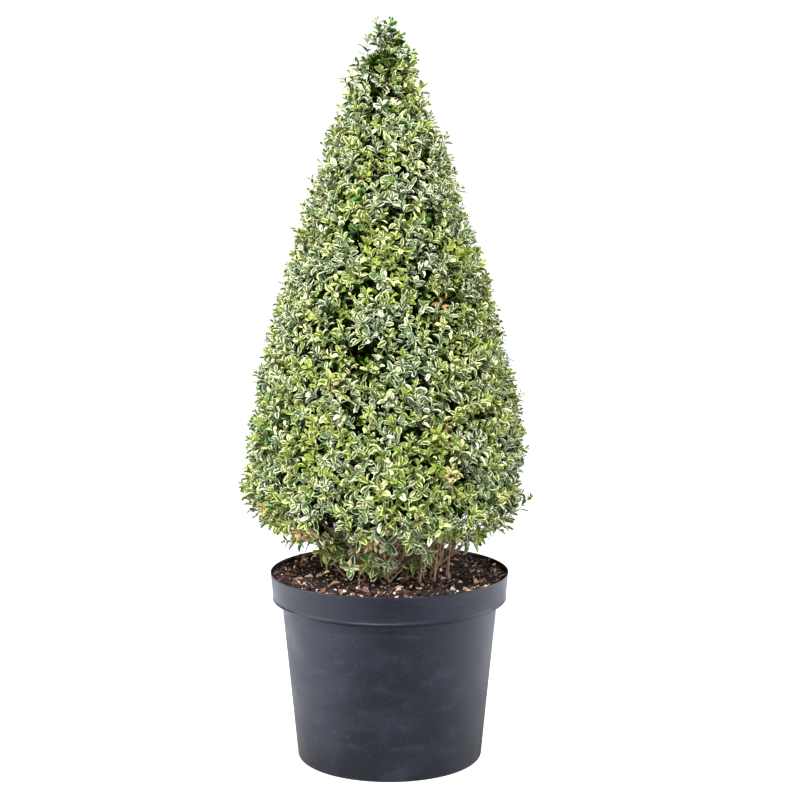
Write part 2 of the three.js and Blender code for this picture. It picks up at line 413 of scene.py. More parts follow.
def mottle_group():
    """The shared effect: a soft mask of patches and streaks over the surface."""
    name = "Mottle"
    if name in bpy.data.node_groups:
        return bpy.data.node_groups[name]
    tree = bpy.data.node_groups.new(name, "ShaderNodeTree")
    add_inputs(
        tree,
        {
            "Vector": ("NodeSocketVector", None),
            "Size": ("NodeSocketVector", (1, 1, 1)),
            "Detail": ("NodeSocketFloat", 4),
            "From": ("NodeSocketFloat", 0.45),
            "To": ("NodeSocketFloat", 0.6),
        },
    )
    tree.interface.new_socket("Mask", in_out="OUTPUT", socket_type="NodeSocketFloat")
    given = tree.nodes.new("NodeGroupInput").outputs
    place = times(tree, given["Vector"], given["Size"])
    grain = put(tree, "ShaderNodeTexNoise", {"Vector": place, "Scale": 1.0, "Detail": given["Detail"]})
    mask = stepped(
        tree, grain.outputs["Fac"], given["From"], given["To"], interpolation_type="SMOOTHSTEP"
    )
    put(tree, "NodeGroupOutput", {0: mask})
    return tree


def mottle(tree, place, size, start, end, detail=4):
    """Places the shared mask in a material, and gives its value."""
    made = put(tree, "ShaderNodeGroup", node_tree=mottle_group())
    tree.links.new(place, made.inputs["Vector"])
    for key, value in (("Size", size), ("From", start), ("To", end), ("Detail", detail)):
        made.inputs[key].default_value = value
    return made.outputs["Mask"]


def mixed(tree, mask, first, second):
    """One colour turning to another by a mask."""
    made = put(tree, "ShaderNodeMix", {"Factor": mask}, data_type="RGBA")
    for key, value in (("A", first), ("B", second)):
        socket = next(s for s in made.inputs if s.name == key and s.enabled)
        if isinstance(value, bpy.types.NodeSocket):
            tree.links.new(value, socket)
        else:
            socket.default_value = (*value, 1)
    return out(made, "Result")


def scaled(tree, value, by, plus=0.0):
    """A value times a number, plus a number."""
    return maths(tree, "MULTIPLY_ADD", value, by, plus)


def object_place(tree):
    """Object coordinates."""
    return put(tree, "ShaderNodeTexCoord").outputs["Object"]


def plastic_material(pot):
    """Matt dark plastic, with dust, thin level scuffs and a few marks."""
    made, tree, shader = material_of("nursery_plastic")
    place = object_place(tree)
    clouds = mottle(tree, place, (14, 14, 18), 0.42, 0.70, 8)
    smears = mottle(tree, place, (26, 26, 62), 0.50, 0.70, 8)
    specks = mottle(tree, place, (360, 360, 420), 0.52, 0.72, 4)
    marks = mottle(tree, place, (60, 60, 210), 0.70, 0.76, 3)
    body = put(tree, "ShaderNodeSeparateXYZ", {"Vector": place})
    band = POT_BOX[1][2] - pot.band
    # The cloudy mottle keeps only three tenths of its strength on the band, so the band comes out darker
    # than the body below it.
    below_band = stepped(tree, out(body, "Z"), band + 0.004, band, 0.30)
    body_clouds = maths(tree, "MULTIPLY", clouds, below_band)
    tone = pot.plastic
    for mask, strength in ((body_clouds, 0.07), (smears, 0.065), (specks, 0.10), (marks, 0.20)):
        tone = mixed(tree, scaled(tree, mask, strength), tone, pot.dust)
    tree.links.new(tone, shader.inputs["Base Color"])
    tree.links.new(scaled(tree, clouds, 0.12, 0.40), shader.inputs["Roughness"])
    shader.inputs["Specular IOR Level"].default_value = 0.42
    shader.inputs["Specular Tint"].default_value = (0.76, 0.81, 1, 1)
    grain = put(tree, "ShaderNodeTexNoise", {"Vector": place, "Scale": 900.0, "Detail": 3.0})
    inputs = {"Height": grain.outputs["Fac"], "Strength": 0.05, "Distance": 0.0004}
    bump = put(tree, "ShaderNodeBump", inputs)
    tree.links.new(out(bump), shader.inputs["Normal"])
    return made


def bark_material(plant):
    """Light brown bark, darker in its furrows, that run along the limbs."""
    made, tree, shader = material_of("boxwood_bark")
    place = object_place(tree)
    furrows = mottle(tree, place, (420, 420, 60), 0.42, 0.62, 6)
    patches = mottle(tree, place, (60, 60, 30), 0.40, 0.66, 3)
    tone = mixed(tree, scaled(tree, furrows, 0.75), plant.bark, plant.crevice)
    tone = mixed(tree, scaled(tree, patches, 0.35), tone, linear("c4ab88"))
    tree.links.new(tone, shader.inputs["Base Color"])
    shader.inputs["Roughness"].default_value = 0.82
    return made


def soil_material(compost):
    """Dark moist compost, with fine brown bits; its near-black is partly painted shade for the gaps
    between the chips.
    """
    made, tree, shader = material_of("bark_compost")
    place = object_place(tree)
    bits = mottle(tree, place, (420, 420, 420), 0.5, 0.64, 5)
    tone = mixed(tree, scaled(tree, bits, 0.7), compost.soil, linear("2c1c16"))
    tree.links.new(tone, shader.inputs["Base Color"])
    shader.inputs["Roughness"].default_value = 0.9
    return made


# ---- Shapes -------------------------------------------------------------------------------
def turned(name, profile, segments, lift=None):
    """A closed solid turned about the upright axis, from (radius, height) points from axis to axis."""
    verts, rings = [], []
    for k, (r, z) in enumerate(profile):
        if r == 0:
            rings.append([len(verts)] * segments)
            verts.append((0, 0, z + (lift(k, 0, 0) if lift else 0)))
            continue
        rings.append(list(range(len(verts), len(verts) + segments)))
        for i in range(segments):
            a = 2 * math.pi * i / segments
            x, y = r * math.cos(a), r * math.sin(a)
            verts.append((x, y, z + (lift(k, x, y) if lift else 0)))
    faces = []
    for low, high in zip(rings, rings[1:]):
        for i in range(segments):
            j = (i + 1) % segments
            corners = [low[i], low[j], high[j], high[i]]
            faces.append([c for n, c in enumerate(corners) if c not in corners[:n]])
    mesh = bpy.data.meshes.new(name)
    mesh.from_pydata(verts, [], faces)
    mesh.shade_smooth()
    return mesh


def arc(radius, height, size, start, end, steps):
    """Profile points along an arc about a centre, between two angles in degrees."""
    angles = [math.radians(start + (end - start) * i / steps) for i in range(steps + 1)]
    return [(radius + size * math.cos(a), height + size * math.sin(a)) for a in angles]


def hull(name, count, size, rng):
    """An angular chip or crumb: the hull of a few random points in a box."""
    work = bmesh.new()
    for _ in range(count):
        spot = Vector([rng.uniform(-0.5, 0.5) for _ in range(3)]).normalized() * rng.uniform(0.42, 0.5)
        work.verts.new([a * b for a, b in zip(spot, size)])
    made = bmesh.ops.convex_hull(work, input=work.verts)
    inside = [v for v in made["geom_interior"] if isinstance(v, bmesh.types.BMVert)]
    bmesh.ops.delete(work, geom=inside, context="VERTS")
    return finished(work, name)


def finished(work, name):
    """A new mesh from a worked one."""
    mesh = bpy.data.meshes.new(name)
    work.to_mesh(mesh)
    work.free()
    return mesh


def stock(name, meshes):
    """A collection of template shapes, in name order, that isn't part of the scene."""
    made = bpy.data.collections.new(name)
    for i, mesh in enumerate(meshes):
        made.objects.link(bpy.data.objects.new(f"{name}_{i:02d}", mesh))
    return made


def clear_stock(made):
    """Removes the template shapes once they have been used."""
    for thing in list(made.objects):
        mesh = thing.data
        bpy.data.objects.remove(thing)
        bpy.data.meshes.remove(mesh)
    bpy.data.collections.remove(made)


# ---- Pot ----------------------------------------------------------------------------------
def pot_profile(pot):
    """The pot's section: up the outside, over the lip, and down the inside."""
    top, rim = POT_BOX[1][2], POT_BOX[1][0]
    base, waist, lip = POT_FOOT, POT_WAIST, pot.wall / 2
    band_foot = top - pot.band
    shoulder = band_foot - pot.shoulder
    foot = rim - pot.band_taper
    return [
        (0, 0),
        (pot.drain_circle - 0.02, 0),
        (pot.drain_circle + 0.012, 0),
        *arc(base - pot.corner, pot.corner, pot.corner, -90, 0, 8),
        (lerp(base, waist, 0.3), shoulder * 0.32),
        (lerp(base, waist, 0.7), shoulder * 0.71),
        (waist - 0.0003, shoulder - 0.004),
        *arc(waist + 0.0030, shoulder - 0.001, 0.0030, 180, 100, 4),
        (foot - 0.0036, band_foot - 0.0018),
        *arc(foot - 0.0010, band_foot + 0.0002, 0.0011, -110, 0, 4),
        (foot + 0.0006, band_foot + 0.0007),
        (foot + 0.0007, band_foot + 0.0014),
        (foot + 0.0002, band_foot + 0.0022),
        (foot - 0.0001, band_foot + 0.0028),
        (foot + 0.0003, band_foot + 0.0064),
        (rim - 0.0006, top - 0.006),
        (rim - 0.0001, top - 0.0028),
        *arc(rim - lip, top - lip, lip, 20, 160, 6),
        (rim - pot.wall - 0.0002, top - 0.004),
        (foot - pot.wall, band_foot + pot.wall + 0.001),
        (waist - pot.wall, shoulder + pot.wall),
        (base - pot.wall, pot.corner),
        (base - pot.corner, pot.wall + 0.0005),
        (0, pot.wall + 0.0005),
    ]


def make_pot(pot):
    """The pot with its drainage holes."""
    piece = piece_of(turned("nursery_pot", pot_profile(pot), 192), "nursery_pot")
    size, reach = pot.drain_hole, 0.01
    work = bmesh.new()
    for i in range(pot.drain_holes):
        drill = turned("drill", [(0, -reach), (size, -reach), (size, reach), (0, reach)], 28)
        heading = 2 * math.pi * (i + 0.5) / pot.drain_holes
        drill.transform(Matrix.Translation(around(heading, pot.drain_circle)))
        work.from_mesh(drill)
        bpy.data.meshes.remove(drill)
    cutter = piece_of(finished(work, "drills"), "drills")
    cut = piece.modifiers.new("Drain holes", "BOOLEAN")
    cut.object = cutter
    cut.solver = "EXACT"
    bake(piece, cut)
    bpy.data.objects.remove(cutter)
    piece.data.set_sharp_from_angle(angle=math.radians(40))
    piece.data.materials.clear()
    piece.data.materials.append(plastic_material(pot))
    kept(piece, "pot", "pot")


# ---- Compost ------------------------------------------------------------------------------
# The colours of the bark chips. The palest are partly the chips' own colour and partly painted light, for
# chips that lie in the crown's shade.
CHIP_TONES = [
    *("180c09", "2a1712", "4a2e26", "724d44", "120806"),
    *("96705f", "361f19", "c4a395", "5e3d35", "ecd9cf"),
]


def compost_top(r):
    """The height of the level compost at a distance from the middle."""
    level, fall = 0.112, 0.0035
    t = min(1.0, max(0.0, (r - level) / (BED_EDGE - level)))
    return GROUND - fall * t


def scatter_tree(name):
    """A tree that strews shapes over a surface, each at its own turn, size and tint."""
    tree, given = geometry_tree(
        name,
        {
            "Shapes": ("NodeSocketCollection", None),
            "Density": ("NodeSocketFloat", 1000.0),
            "Closest": ("NodeSocketFloat", 0.001),
            "Smallest": ("NodeSocketFloat", 0.5),
            "Largest": ("NodeSocketFloat", 1.2),
            "Tilt": ("NodeSocketFloat", 0.5),
            "Tints": ("NodeSocketInt", 1),
            "Seed": ("NodeSocketInt", 1),
        },
    )
    socket = given.outputs
    inputs = {
        "Mesh": socket["Geometry"],
        "Distance Min": socket["Closest"],
        "Density Max": socket["Density"],
        "Seed": socket["Seed"],
    }
    spread = put(tree, "GeometryNodeDistributePointsOnFaces", inputs, distribute_method="POISSON")

    def dealt(kind, low, high, step):
        seed = maths(tree, "ADD", socket["Seed"], float(step))
        inputs = {"Min": low, "Max": high, "Seed": seed}
        return out(put(tree, "FunctionNodeRandomValue", inputs, data_type=kind))

    tilt = socket["Tilt"]
    lean = maths(tree, "MULTIPLY", tilt, -1.0)
    low = out(put(tree, "ShaderNodeCombineXYZ", {"X": lean, "Y": lean, "Z": 0.0}))
    high = out(put(tree, "ShaderNodeCombineXYZ", {"X": tilt, "Y": tilt, "Z": 2 * math.pi}))
    turn = out(put(tree, "FunctionNodeEulerToRotation", {0: dealt("FLOAT_VECTOR", low, high, 1)}))
    scale = dealt("FLOAT", socket["Smallest"], socket["Largest"], 3)
    strewn = placed_shapes(tree, given, out(spread), dealt("INT", 0, 99, 2), turn, scale)
    last = maths(tree, "SUBTRACT", socket["Tints"], 1.0)
    inputs = {"Geometry": strewn, "Name": "tint", "Value": dealt("INT", 0, last, 4)}
    settings = {"data_type": "INT", "domain": "INSTANCE"}
    return tree, out(put(tree, "GeometryNodeStoreNamedAttribute", inputs, **settings))


def strew(name, top, shapes, materials, settings):
    """Strews shapes over the compost's top and hands the joined piece over."""
    tree, geometry = scatter_tree(name)
    end_tree(tree, geometry, materials, attribute(tree, "tint", "INT"))
    store = stock(f"{name}_shape", shapes)
    piece = run_tree(tree, name, top.copy(), {"Shapes": store, "Tints": len(materials), **settings})
    clear_stock(store)
    kept(piece, "compost")


def make_bed(compost):
    """The compost itself, uneven on top, and the part of its top that chips can lie on."""
    rim, steps, floor = POT_BOX[1][2], 42, 0.0029
    # The underside and the side, which keep just inside the pot's wall and its step.
    side = [(0, floor), (0.1275, floor), (0.1321, 0.0071), (0.1536, rim - 0.045), (0.1666, rim - 0.0365)]

    def lift(k, x, y):
        if k < len(side):
            return 0
        fade = min(1.0, (BED_EDGE - math.hypot(x, y)) / 0.006)
        spot = Vector((x, y, 0))
        rough = noise.noise(spot * 70) + 0.6 * noise.noise(spot * 210) + 0.35 * noise.noise(spot * 520)
        return compost.bumps * (rough * 0.9 - 0.35) * max(0.0, fade)

    reaches = [BED_EDGE * (1 - i / steps) for i in range(steps)]
    profile = [*side, *((r, compost_top(r)) for r in reaches), (0, GROUND)]
    mesh = turned("compost_bed", profile, 150, lift)
    bed = piece_of(mesh, "compost_bed")
    mesh.materials.append(soil_material(compost))
    kept(bed, "compost", "compost")

    work = bmesh.new()
    work.from_mesh(mesh)
    for face in list(work.faces):
        middle = face.calc_center_median()
        at_edge = math.hypot(middle.x, middle.y) > BED_EDGE - 0.003
        if face.normal.z < 0.2 or middle.z < side[-1][1] or at_edge:
            work.faces.remove(face)
    return finished(work, "compost_top")


def tinted(name, codes, roughness, specular):
    """A plain material for each colour."""
    return [plain(f"{name}_{i}", linear(code), roughness, specular) for i, code in enumerate(codes)]


def make_compost(compost):
    """The compost, and the chips, crumbs, specks, slivers and fallen leaves that lie on it."""
    rng, long = random.Random(compost.seed), compost.chip
    top = make_bed(compost)
    chips = [
        hull("chip", 8, (long * rng.uniform(0.3, 0.7), long, long * rng.uniform(0.08, 0.2)), rng)
        for _ in range(9)
    ]
    crumbs = [hull("crumb", 6, (0.0034, 0.0030, 0.0024), rng) for _ in range(5)]
    specks = [hull("speck", 8, (0.0036, 0.0032, 0.0028), rng) for _ in range(4)]
    slivers = [hull("sliver", 7, (0.0022, 0.0125, 0.0012), rng) for _ in range(3)]
    fallen = [leaf_full(rng, rng.uniform(0.5, 0.8)) for _ in range(6)]
    for leaf in fallen:
        size = Matrix.Diagonal((0.0095, 0.019, 0.024, 1))
        leaf.transform(size @ Matrix.Translation((0, -0.5, 0.12)))

    bark = tinted("bark_chip", CHIP_TONES, 0.75, 0.35)
    fine = [bark[i] for i in (0, 1, 4, 6)]
    white = tinted("white_speck", ["e6e1d6"], 0.8, 0.3)
    wood = tinted("wood_sliver", ["b89a76", "9a7858"], 0.8, 0.3)
    dry = tinted("fallen_leaf", ["a98468", "c8aa8c", "7d5b4a", "d3bfa4"], 0.7, 0.3)
    keys = ("Density", "Closest", "Smallest", "Largest", "Tilt")
    rows = (
        ("bark_chips", chips, bark, compost.chip_density, 0.0046, 0.28, 1.35, 1.2),
        ("compost_crumbs", crumbs, fine, compost.crumb_density, 0.0034, 0.4, 1.2, 3.0),
        ("white_specks", specks, white, compost.speck_density, 0.007, 0.45, 1.1, 3.0),
        ("wood_slivers", slivers, wood, compost.sliver_density, 0.006, 0.4, 1.2, 0.5),
        ("fallen_leaves", fallen, dry, compost.fallen_density, 0.018, 0.6, 1.1, 0.6),
    )
    for step, (name, shapes, materials, *values) in enumerate(rows):
        settings = {**dict(zip(keys, values)), "Seed": compost.seed + step}
        strew(name, top, shapes, materials, settings)
    bpy.data.meshes.remove(top)


# ---- Growing ------------------------------------------------------------------------------
def any_direction(rng):
    """A random direction."""
    while True:
        v = Vector((rng.uniform(-1, 1), rng.uniform(-1, 1), rng.uniform(-1, 1)))
        if 0.05 < v.length < 1:
            return v.normalized()


def corners(node):
    """A frame node's corners as an array."""
    mesh = NODES[node].data
    places = np.empty(len(mesh.vertices) * 3, np.float32)
    mesh.vertices.foreach_get("co", places)
    return places.reshape(-1, 3)


def middle_line(node, count):
    """Points along the middle of a limb of the frame, from its foot."""
    places = corners(node)
    foot = places[places[:, 2] < places[:, 2].min() + 0.0015].mean(axis=0)
    far = places[np.argsort(((places - foot) ** 2).sum(axis=1))[-12:]].mean(axis=0)
    along = (places - foot) @ (far - foot) / ((far - foot) ** 2).sum()
    order = np.argsort(along)
    middles = [Vector(places[group].mean(axis=0)) for group in np.array_split(order, count)]
    line = [Vector(foot), *middles, Vector(far)]
    for _ in range(2):
        eased = ((a + b * 2 + c) / 4 for a, b, c in zip(line, line[1:], line[2:]))
        line = [line[0], *eased, line[-1]]
    return line


def resampled(line, count):
    """The same line through evenly spaced points."""
    steps = [0.0]
    for a, b in zip(line, line[1:]):
        steps.append(steps[-1] + (b - a).length)
    at = np.linspace(0, steps[-1], count)
    axes = [np.interp(at, steps, [p[k] for p in line]) for k in range(3)]
    return [Vector(spot) for spot in zip(*axes)]


def bent(start, middle, end, count):
    """Points along a curve that is pulled towards a middle point."""
    shares = np.linspace(0, 1, count)
    return [start.lerp(middle, t).lerp(middle.lerp(end, t), t) for t in shares]


def tapering(thick, thin, count, power=1.0):
    """The radius at each point of a limb, from its foot to its tip."""
    return [lerp(thick, thin, (i / (count - 1)) ** power) for i in range(count)]


class Growth:
    """The limbs and sprays of one plant. Limbs are lists of points with a radius at each."""

    def __init__(self, plant):
        self.plant = plant
        self.rng = random.Random(plant.seed)
        self.limbs = {"trunk": [], "stems": [], "forks": [], "boughs": [], "twigs": [], "low twigs": []}
        self.sprays = []
        self.trees = {n: self.tree_of([n]) for n in MASSES}
        self.skin = self.tree_of(MASSES)
        self.grow_limbs()
        self.grow_sprays()

    def tree_of(self, names):
        """A search tree over some of the frame's masses."""
        verts, faces = [], []
        for name in names:
            mesh = NODES[name].data
            start = len(verts)
            verts += [v.co.copy() for v in mesh.vertices]
            faces += [[start + i for i in p.vertices] for p in mesh.polygons]
        return BVHTree.FromPolygons(verts, faces)

    def reach(self, z, heading):
        """How far out the foliage goes at a height and heading, from the plant's middle line."""
        hit = self.surface_at(z, around(heading))
        return math.hypot(hit.x, hit.y) if hit else 0.0

    def surface_at(self, z, way):
        """Where the foliage begins at a height, coming in along a level direction."""
        return self.skin.ray_cast(UP * z + way * 0.5, -way, 0.5)[0]

    def grow_limbs(self):
        """The trunk and stems of the frame, carried on into the foliage, and the boughs on them."""
        trunk = resampled(middle_line("trunk", 16), 60)
        foot_flare = [0.0048 * math.exp(-(p.z - GROUND) / 0.013) for p in trunk]
        taper = tapering(0.0085, 0.0019, len(trunk), 0.8)
        self.limbs["trunk"].append((trunk, [a + b for a, b in zip(taper, foot_flare)]))
        self.joints = [p for p in trunk if p.z > 0.31]
        for name in STEMS:
            self.grow_stem(name)
        self.grow_forks()
        self.grow_uprights()
        self.grow_boughs(trunk)

    def grow_stem(self, name):
        """A stem of the frame, led on up through the foliage some way inside its surface."""
        rng, line, points = self.rng, middle_line(name, 5), 34
        way, end = (line[-1] - line[-3]).normalized(), line[-1]
        heading = math.atan2(end.y, end.x) + rng.uniform(-0.15, 0.15)
        for k in range(1, 7):
            z = end.z + 0.058 * k * rng.uniform(0.9, 1.1)
            inside = max(0.03, self.reach(z, heading) - 0.055)
            spot = around(heading, min(inside, math.hypot(end.x, end.y) + 0.014 * k), z)
            line.append(lerp(end + way * 0.03 * k, spot, min(1.0, 0.35 * k)))
        thick = rng.uniform(0.0015, 0.0023)
        line = resampled(line, points)
        self.limbs["stems"].append((line, tapering(thick, 0.0011, points, 0.8)))
        self.joints += line[3::2]

    def add_fork(self, line, thick, bare):
        """One thin shoot, which carries twigs beyond its first, bare points."""
        self.limbs["forks"].append((line, tapering(thick, 0.0008, len(line))))
        self.joints += line[bare:]

    def grow_forks(self):
        """Thin bare shoots that leave the stems low down and fan out into the skirt."""
        rng = self.rng
        for line, _ in self.limbs["stems"]:
            for _ in range(self.plant.forks):
                height = GROUND + rng.uniform(0.004, 0.034)
                start = min(line, key=lambda p: abs(p.z - height))
                heading = math.atan2(start.y, start.x) + rng.uniform(-1.1, 1.1)
                r = rng.uniform(0.045, 0.168)
                z = GROUND + 0.058 + 0.36 * max(0.0, r - 0.09) + rng.uniform(0, 0.020)
                end = around(heading, r, z)
                middle = start.lerp(end, 0.5) + any_direction(rng) * 0.007
                self.add_fork(bent(start, middle, end, 8), rng.uniform(0.0007, 0.0014), 3)

    def grow_uprights(self):
        """Thin shoots that rise straight from the compost, half of them at the front."""
        rng = self.rng
        for k in range(self.plant.uprights):
            way = around(math.radians(rng.uniform(-85, -25) if k % 2 else rng.uniform(0, 360)))
            foot = way * rng.uniform(0.045, 0.100) + UP * (GROUND - 0.003)
            end = foot + way * rng.uniform(0, 0.016) + UP * rng.uniform(0.075, 0.1)
            middle = foot.lerp(end, 0.5) + any_direction(rng) * 0.005
            self.add_fork(bent(foot, middle, end, 8), rng.uniform(0.0009, 0.0017), 4)

    def grow_boughs(self, trunk):
        """Boughs that leave the trunk in a spiral, and smaller ones to every part of the masses."""
        rng, top = self.rng, 1.04
        for k in range(self.plant.boughs):
            share = (k + 0.5) / self.plant.boughs
            z = lerp(0.345, 1.0, share**0.85)
            start = min(trunk, key=lambda p: abs(p.z - z))
            heading = GOLDEN_ANGLE * k + rng.uniform(-0.2, 0.2)
            rise = rng.uniform(0.35, 0.75) * self.reach(min(z + 0.04, top), heading) + 0.01
            r = self.reach(min(z + rise, top + 0.005), heading)
            if r < 0.02:
                continue
            end = around(heading, r - 0.024, z + rise)
            sag = start.lerp(end, 0.5) - UP * (0.12 * r) + any_direction(rng) * 0.006
            line = bent(start, sag, end, 9)
            self.limbs["boughs"].append((line, tapering(lerp(0.0030, 0.0014, share), 0.0009, 9)))
            self.joints += line[2:]

        targets, hubs = self.anchors(0.040, 0.036, 0.30), self.hubs()
        for place, normal, _ in targets:
            base, _, _ = hubs.find(place - UP * 0.03 - normal * 0.02)
            line = self.arched(base, place, (normal * 0.6 + UP * 0.6).normalized(), 6)
            self.limbs["boughs"].append((line, tapering(0.0013, 0.0008, 6)))
            self.joints += line[1:]

    def hubs(self):
        """A search tree over every point that a twig can grow from."""
        made = KDTree(len(self.joints))
        for i, p in enumerate(self.joints):
            made.insert(p, i)
        made.balance()
        return made

    def arched(self, base, end, way, count):
        """A line from one point to another that arrives along a direction."""
        reach = (end - base).length
        turn = end - way * (0.5 * reach) + any_direction(self.rng) * (0.06 * reach)
        return bent(base, turn, end, count)

    def anchors(self, spacing, depth, jitter):
        """Evenly strewn spots on the masses, sunk by a depth: (place, outward direction, mass)."""
        rng, found, cells, narrow = self.rng, [], {}, 0.9
        steps = list(itertools.product((-1, 0, 1), repeat=3))
        for name in MASSES:
            for place, normal in self.picks(name, spacing):
                covered = self.skin.ray_cast(place + normal * 2e-4, normal, 0.016)[0]
                if covered or place.z < GROUND + 0.006:
                    continue
                x, y, z = (int(c // spacing) for c in place)
                near = (q for a, b, c in steps for q in cells.get((x + a, y + b, z + c), ()))
                if any((q - place).length < spacing for q in near):
                    continue
                cells.setdefault((x, y, z), []).append(place)
                sink = depth + rng.uniform(-1, 1) * jitter * spacing
                if place.z > narrow:
                    sink = min(sink, 0.6 * math.hypot(place.x, place.y))
                sunk = place - normal * sink
                if depth < 0.01 or place.z > narrow or self.within(sunk):
                    found.append((sunk, normal, name))
        return found

    def picks(self, name, spacing):
        """Random spots all over one mass, in random order, more than the spacing lets in."""
        rng, mesh, found = self.rng, NODES[name].data, []
        for p in mesh.polygons:
            a, b, c = (mesh.vertices[i].co for i in p.vertices)
            for _ in range(int(p.area / spacing**2 * 7 + rng.random())):
                u, v = rng.random(), rng.random()
                if u + v > 1:
                    u, v = 1 - u, 1 - v
                found.append((a + (b - a) * u + (c - a) * v, p.normal.copy()))
        rng.shuffle(found)
        return found

    def within(self, place):
        """Whether a spot is inside one of the masses."""
        for tree in self.trees.values():
            near, normal, _, _ = tree.find_nearest(place)
            if (place - near).dot(normal) < 0:
                return True
        return False

    def grow_sprays(self):
        """Twigs and sprays: a layer that makes the surface, and others that close the view behind it."""
        rng, plant = self.rng, self.plant
        hubs = self.hubs()
        layers = (
            ("outer", plant.spacing, 0.0, 0.35),
            ("inner", plant.spacing * 1.25, 0.019, 0.3),
            ("deep", plant.spacing * 1.3, 0.038, 0.4),
            ("core", plant.spacing * 1.4, 0.060, 0.4),
            ("heart", plant.spacing * 1.7, 0.090, 0.4),
        )
        for layer, spacing, depth, jitter in layers:
            for tip, normal, mass in self.anchors(spacing, depth, jitter):
                if self.left_bare(layer, tip, mass):
                    continue
                self.add_spray(hubs, layer, tip, normal, mass, rng.uniform(0.020, 0.029))
        self.grow_strays(hubs)

    def grow_strays(self, hubs):
        """The shoots that stand well out of the clipped shape, and those that make its top."""
        rng = self.rng
        for height, heading, stray in STRAYS:
            way = around(math.radians(heading))
            hit = self.surface_at(height, way)
            mass = min(MASSES, key=lambda n: (self.trees[n].find_nearest(hit)[0] - hit).length)
            lift = (way * 0.8 + UP * rng.uniform(0.25, 0.7)).normalized()
            self.add_spray(hubs, "outer", hit + lift * stray, lift, mass, stray + 0.012, 1.0)
        for peak in PEAKS:
            self.add_spray(hubs, "outer", Vector(peak), UP, "foliage_tip", 0.024, 1.0)
        for heading, r, height in HANGING:
            way = around(math.radians(heading))
            for k in range(3):
                spot = way * (r - 0.008 * k) + UP * (height + 0.010 * k) + any_direction(rng) * 0.005
                self.add_spray(hubs, "outer", spot, way, INNER_TUFTS[0], rng.uniform(0.018, 0.026))

    def left_bare(self, layer, place, mass):
        """Whether a spot has no spray: small gaps all over, and most of the underside."""
        rng, outer = self.rng, layer == "outer"
        gap = noise.noise(place * 42 + Vector((3, 7, 1))) > 0.47
        hollow = any((place - spot).length < size for spot, size in HOLLOWS)
        if outer and (gap or hollow):
            return True
        if place.z > 1.015 and rng.random() < (0.3 if outer else 0.75):
            return True
        if any((place - spot).length < size for spot, size in OPENINGS):
            return rng.random() < 0.85
        if mass in INNER_TUFTS:
            return not outer or rng.random() < 0.45
        low = (GROUND + SKIRT - place.z) / SKIRT
        if low > 0.45:
            inner = math.hypot(place.x, place.y) < 0.085
            return rng.random() < (0.5 if inner and not outer else 0.86)
        if low > 0:
            flank = 0.16 * (abs(place.x) > 0.1)
            return rng.random() < (0.22 if outer else 0.7) + 0.9 * low + flank
        return rng.random() < 0.04

    def add_spray(self, hubs, layer, tip, normal, mass, reach, straight=0.0):
        """One twig from the nearest limb, and the shoot it ends in."""
        rng, height = self.rng, tip.z - GROUND
        outward = Vector((tip.x, tip.y, 0)).normalized()
        if height < 0.075:
            lean = outward * 0.9 + normal * 0.25 + UP * 0.15
        else:
            lean = normal * 0.8 + UP * 0.42
        way = (lean + any_direction(rng) * (0.42 * (1 - straight))).normalized()
        base = tip - way * reach
        if height < 0.012:
            return
        source = base - outward * 0.030 - UP * 0.045 if height < 0.085 else base - way * 0.012
        count = 4 if layer == "outer" else 3
        line = self.arched(hubs.find(source)[0], base, way, count)
        bend = any_direction(rng) * (0.08 * reach)
        shoot = [base, base.lerp(tip, 0.5) + bend, tip]
        radii = [*tapering(0.00085, 0.00055, count), 0.00048, 0.00036]
        self.limbs["low twigs" if height < 0.1 else "twigs"].append((line + shoot[1:], radii))
        self.sprays.append((layer, mass, shoot, way))


# How far above the compost the foliage thins out.
SKIRT = 0.115


# The middle and size of each hollow in the clipped surface.
HOLLOWS = [
    (Vector((0.190, -0.035, 0.410)), 0.032),
    (Vector((0.188, 0.020, 0.408)), 0.030),
]


# The middle and size of each place under the skirt where the bare shoots show.
OPENINGS = [
    (Vector((-0.128, -0.060, 0.322)), 0.036),
    (Vector((-0.105, -0.085, 0.312)), 0.026),
    (Vector((0.132, -0.045, 0.322)), 0.036),
    (Vector((0.085, -0.095, 0.310)), 0.028),
    (Vector((0.055, -0.110, 0.306)), 0.026),
    (Vector((0.040, 0.120, 0.318)), 0.034),
    (Vector((-0.080, 0.105, 0.318)), 0.030),
]


# Height, heading in degrees and length of each shoot that stands well out of the clipped shape.
STRAYS = [
    (1.012, 4, 0.010),
    (0.998, -14, 0.011),
    (1.020, -30, 0.006),
    (0.975, 184, 0.010),
    (0.950, -4, 0.007),
    (0.893, 2, 0.012),
    (0.885, 186, 0.007),
    (0.865, -6, 0.006),
    (0.835, 178, 0.008),
    (0.825, 2, 0.007),
    (0.800, 174, 0.007),
    (0.765, 183, 0.008),
    (0.730, 178, 0.007),
    (0.585, -2, 0.008),
    (0.560, 181, 0.006),
    (0.558, 4, 0.007),
    (0.532, -5, 0.009),
    (0.505, 1, 0.007),
    (0.402, 187, 0.008),
    (0.380, -4, 0.011),
    (0.745, 60, 0.010),
    (0.560, 128, 0.010),
    (0.870, 95, 0.010),
    (0.700, 215, 0.010),
    (0.480, 300, 0.008),
    (0.420, 40, 0.012),
]


# Where a low shoot hangs in front of the stems: heading in degrees, reach and height.
HANGING = [
    (-118, 0.112, 0.300),
    (-110, 0.100, 0.290),
    (-104, 0.120, 0.306),
    (-98, 0.104, 0.296),
    (-92, 0.118, 0.308),
    (-128, 0.108, 0.312),
    (-140, 0.114, 0.318),
    (150, 0.100, 0.304),
    (60, 0.104, 0.306),
    (95, 0.108, 0.302),
]


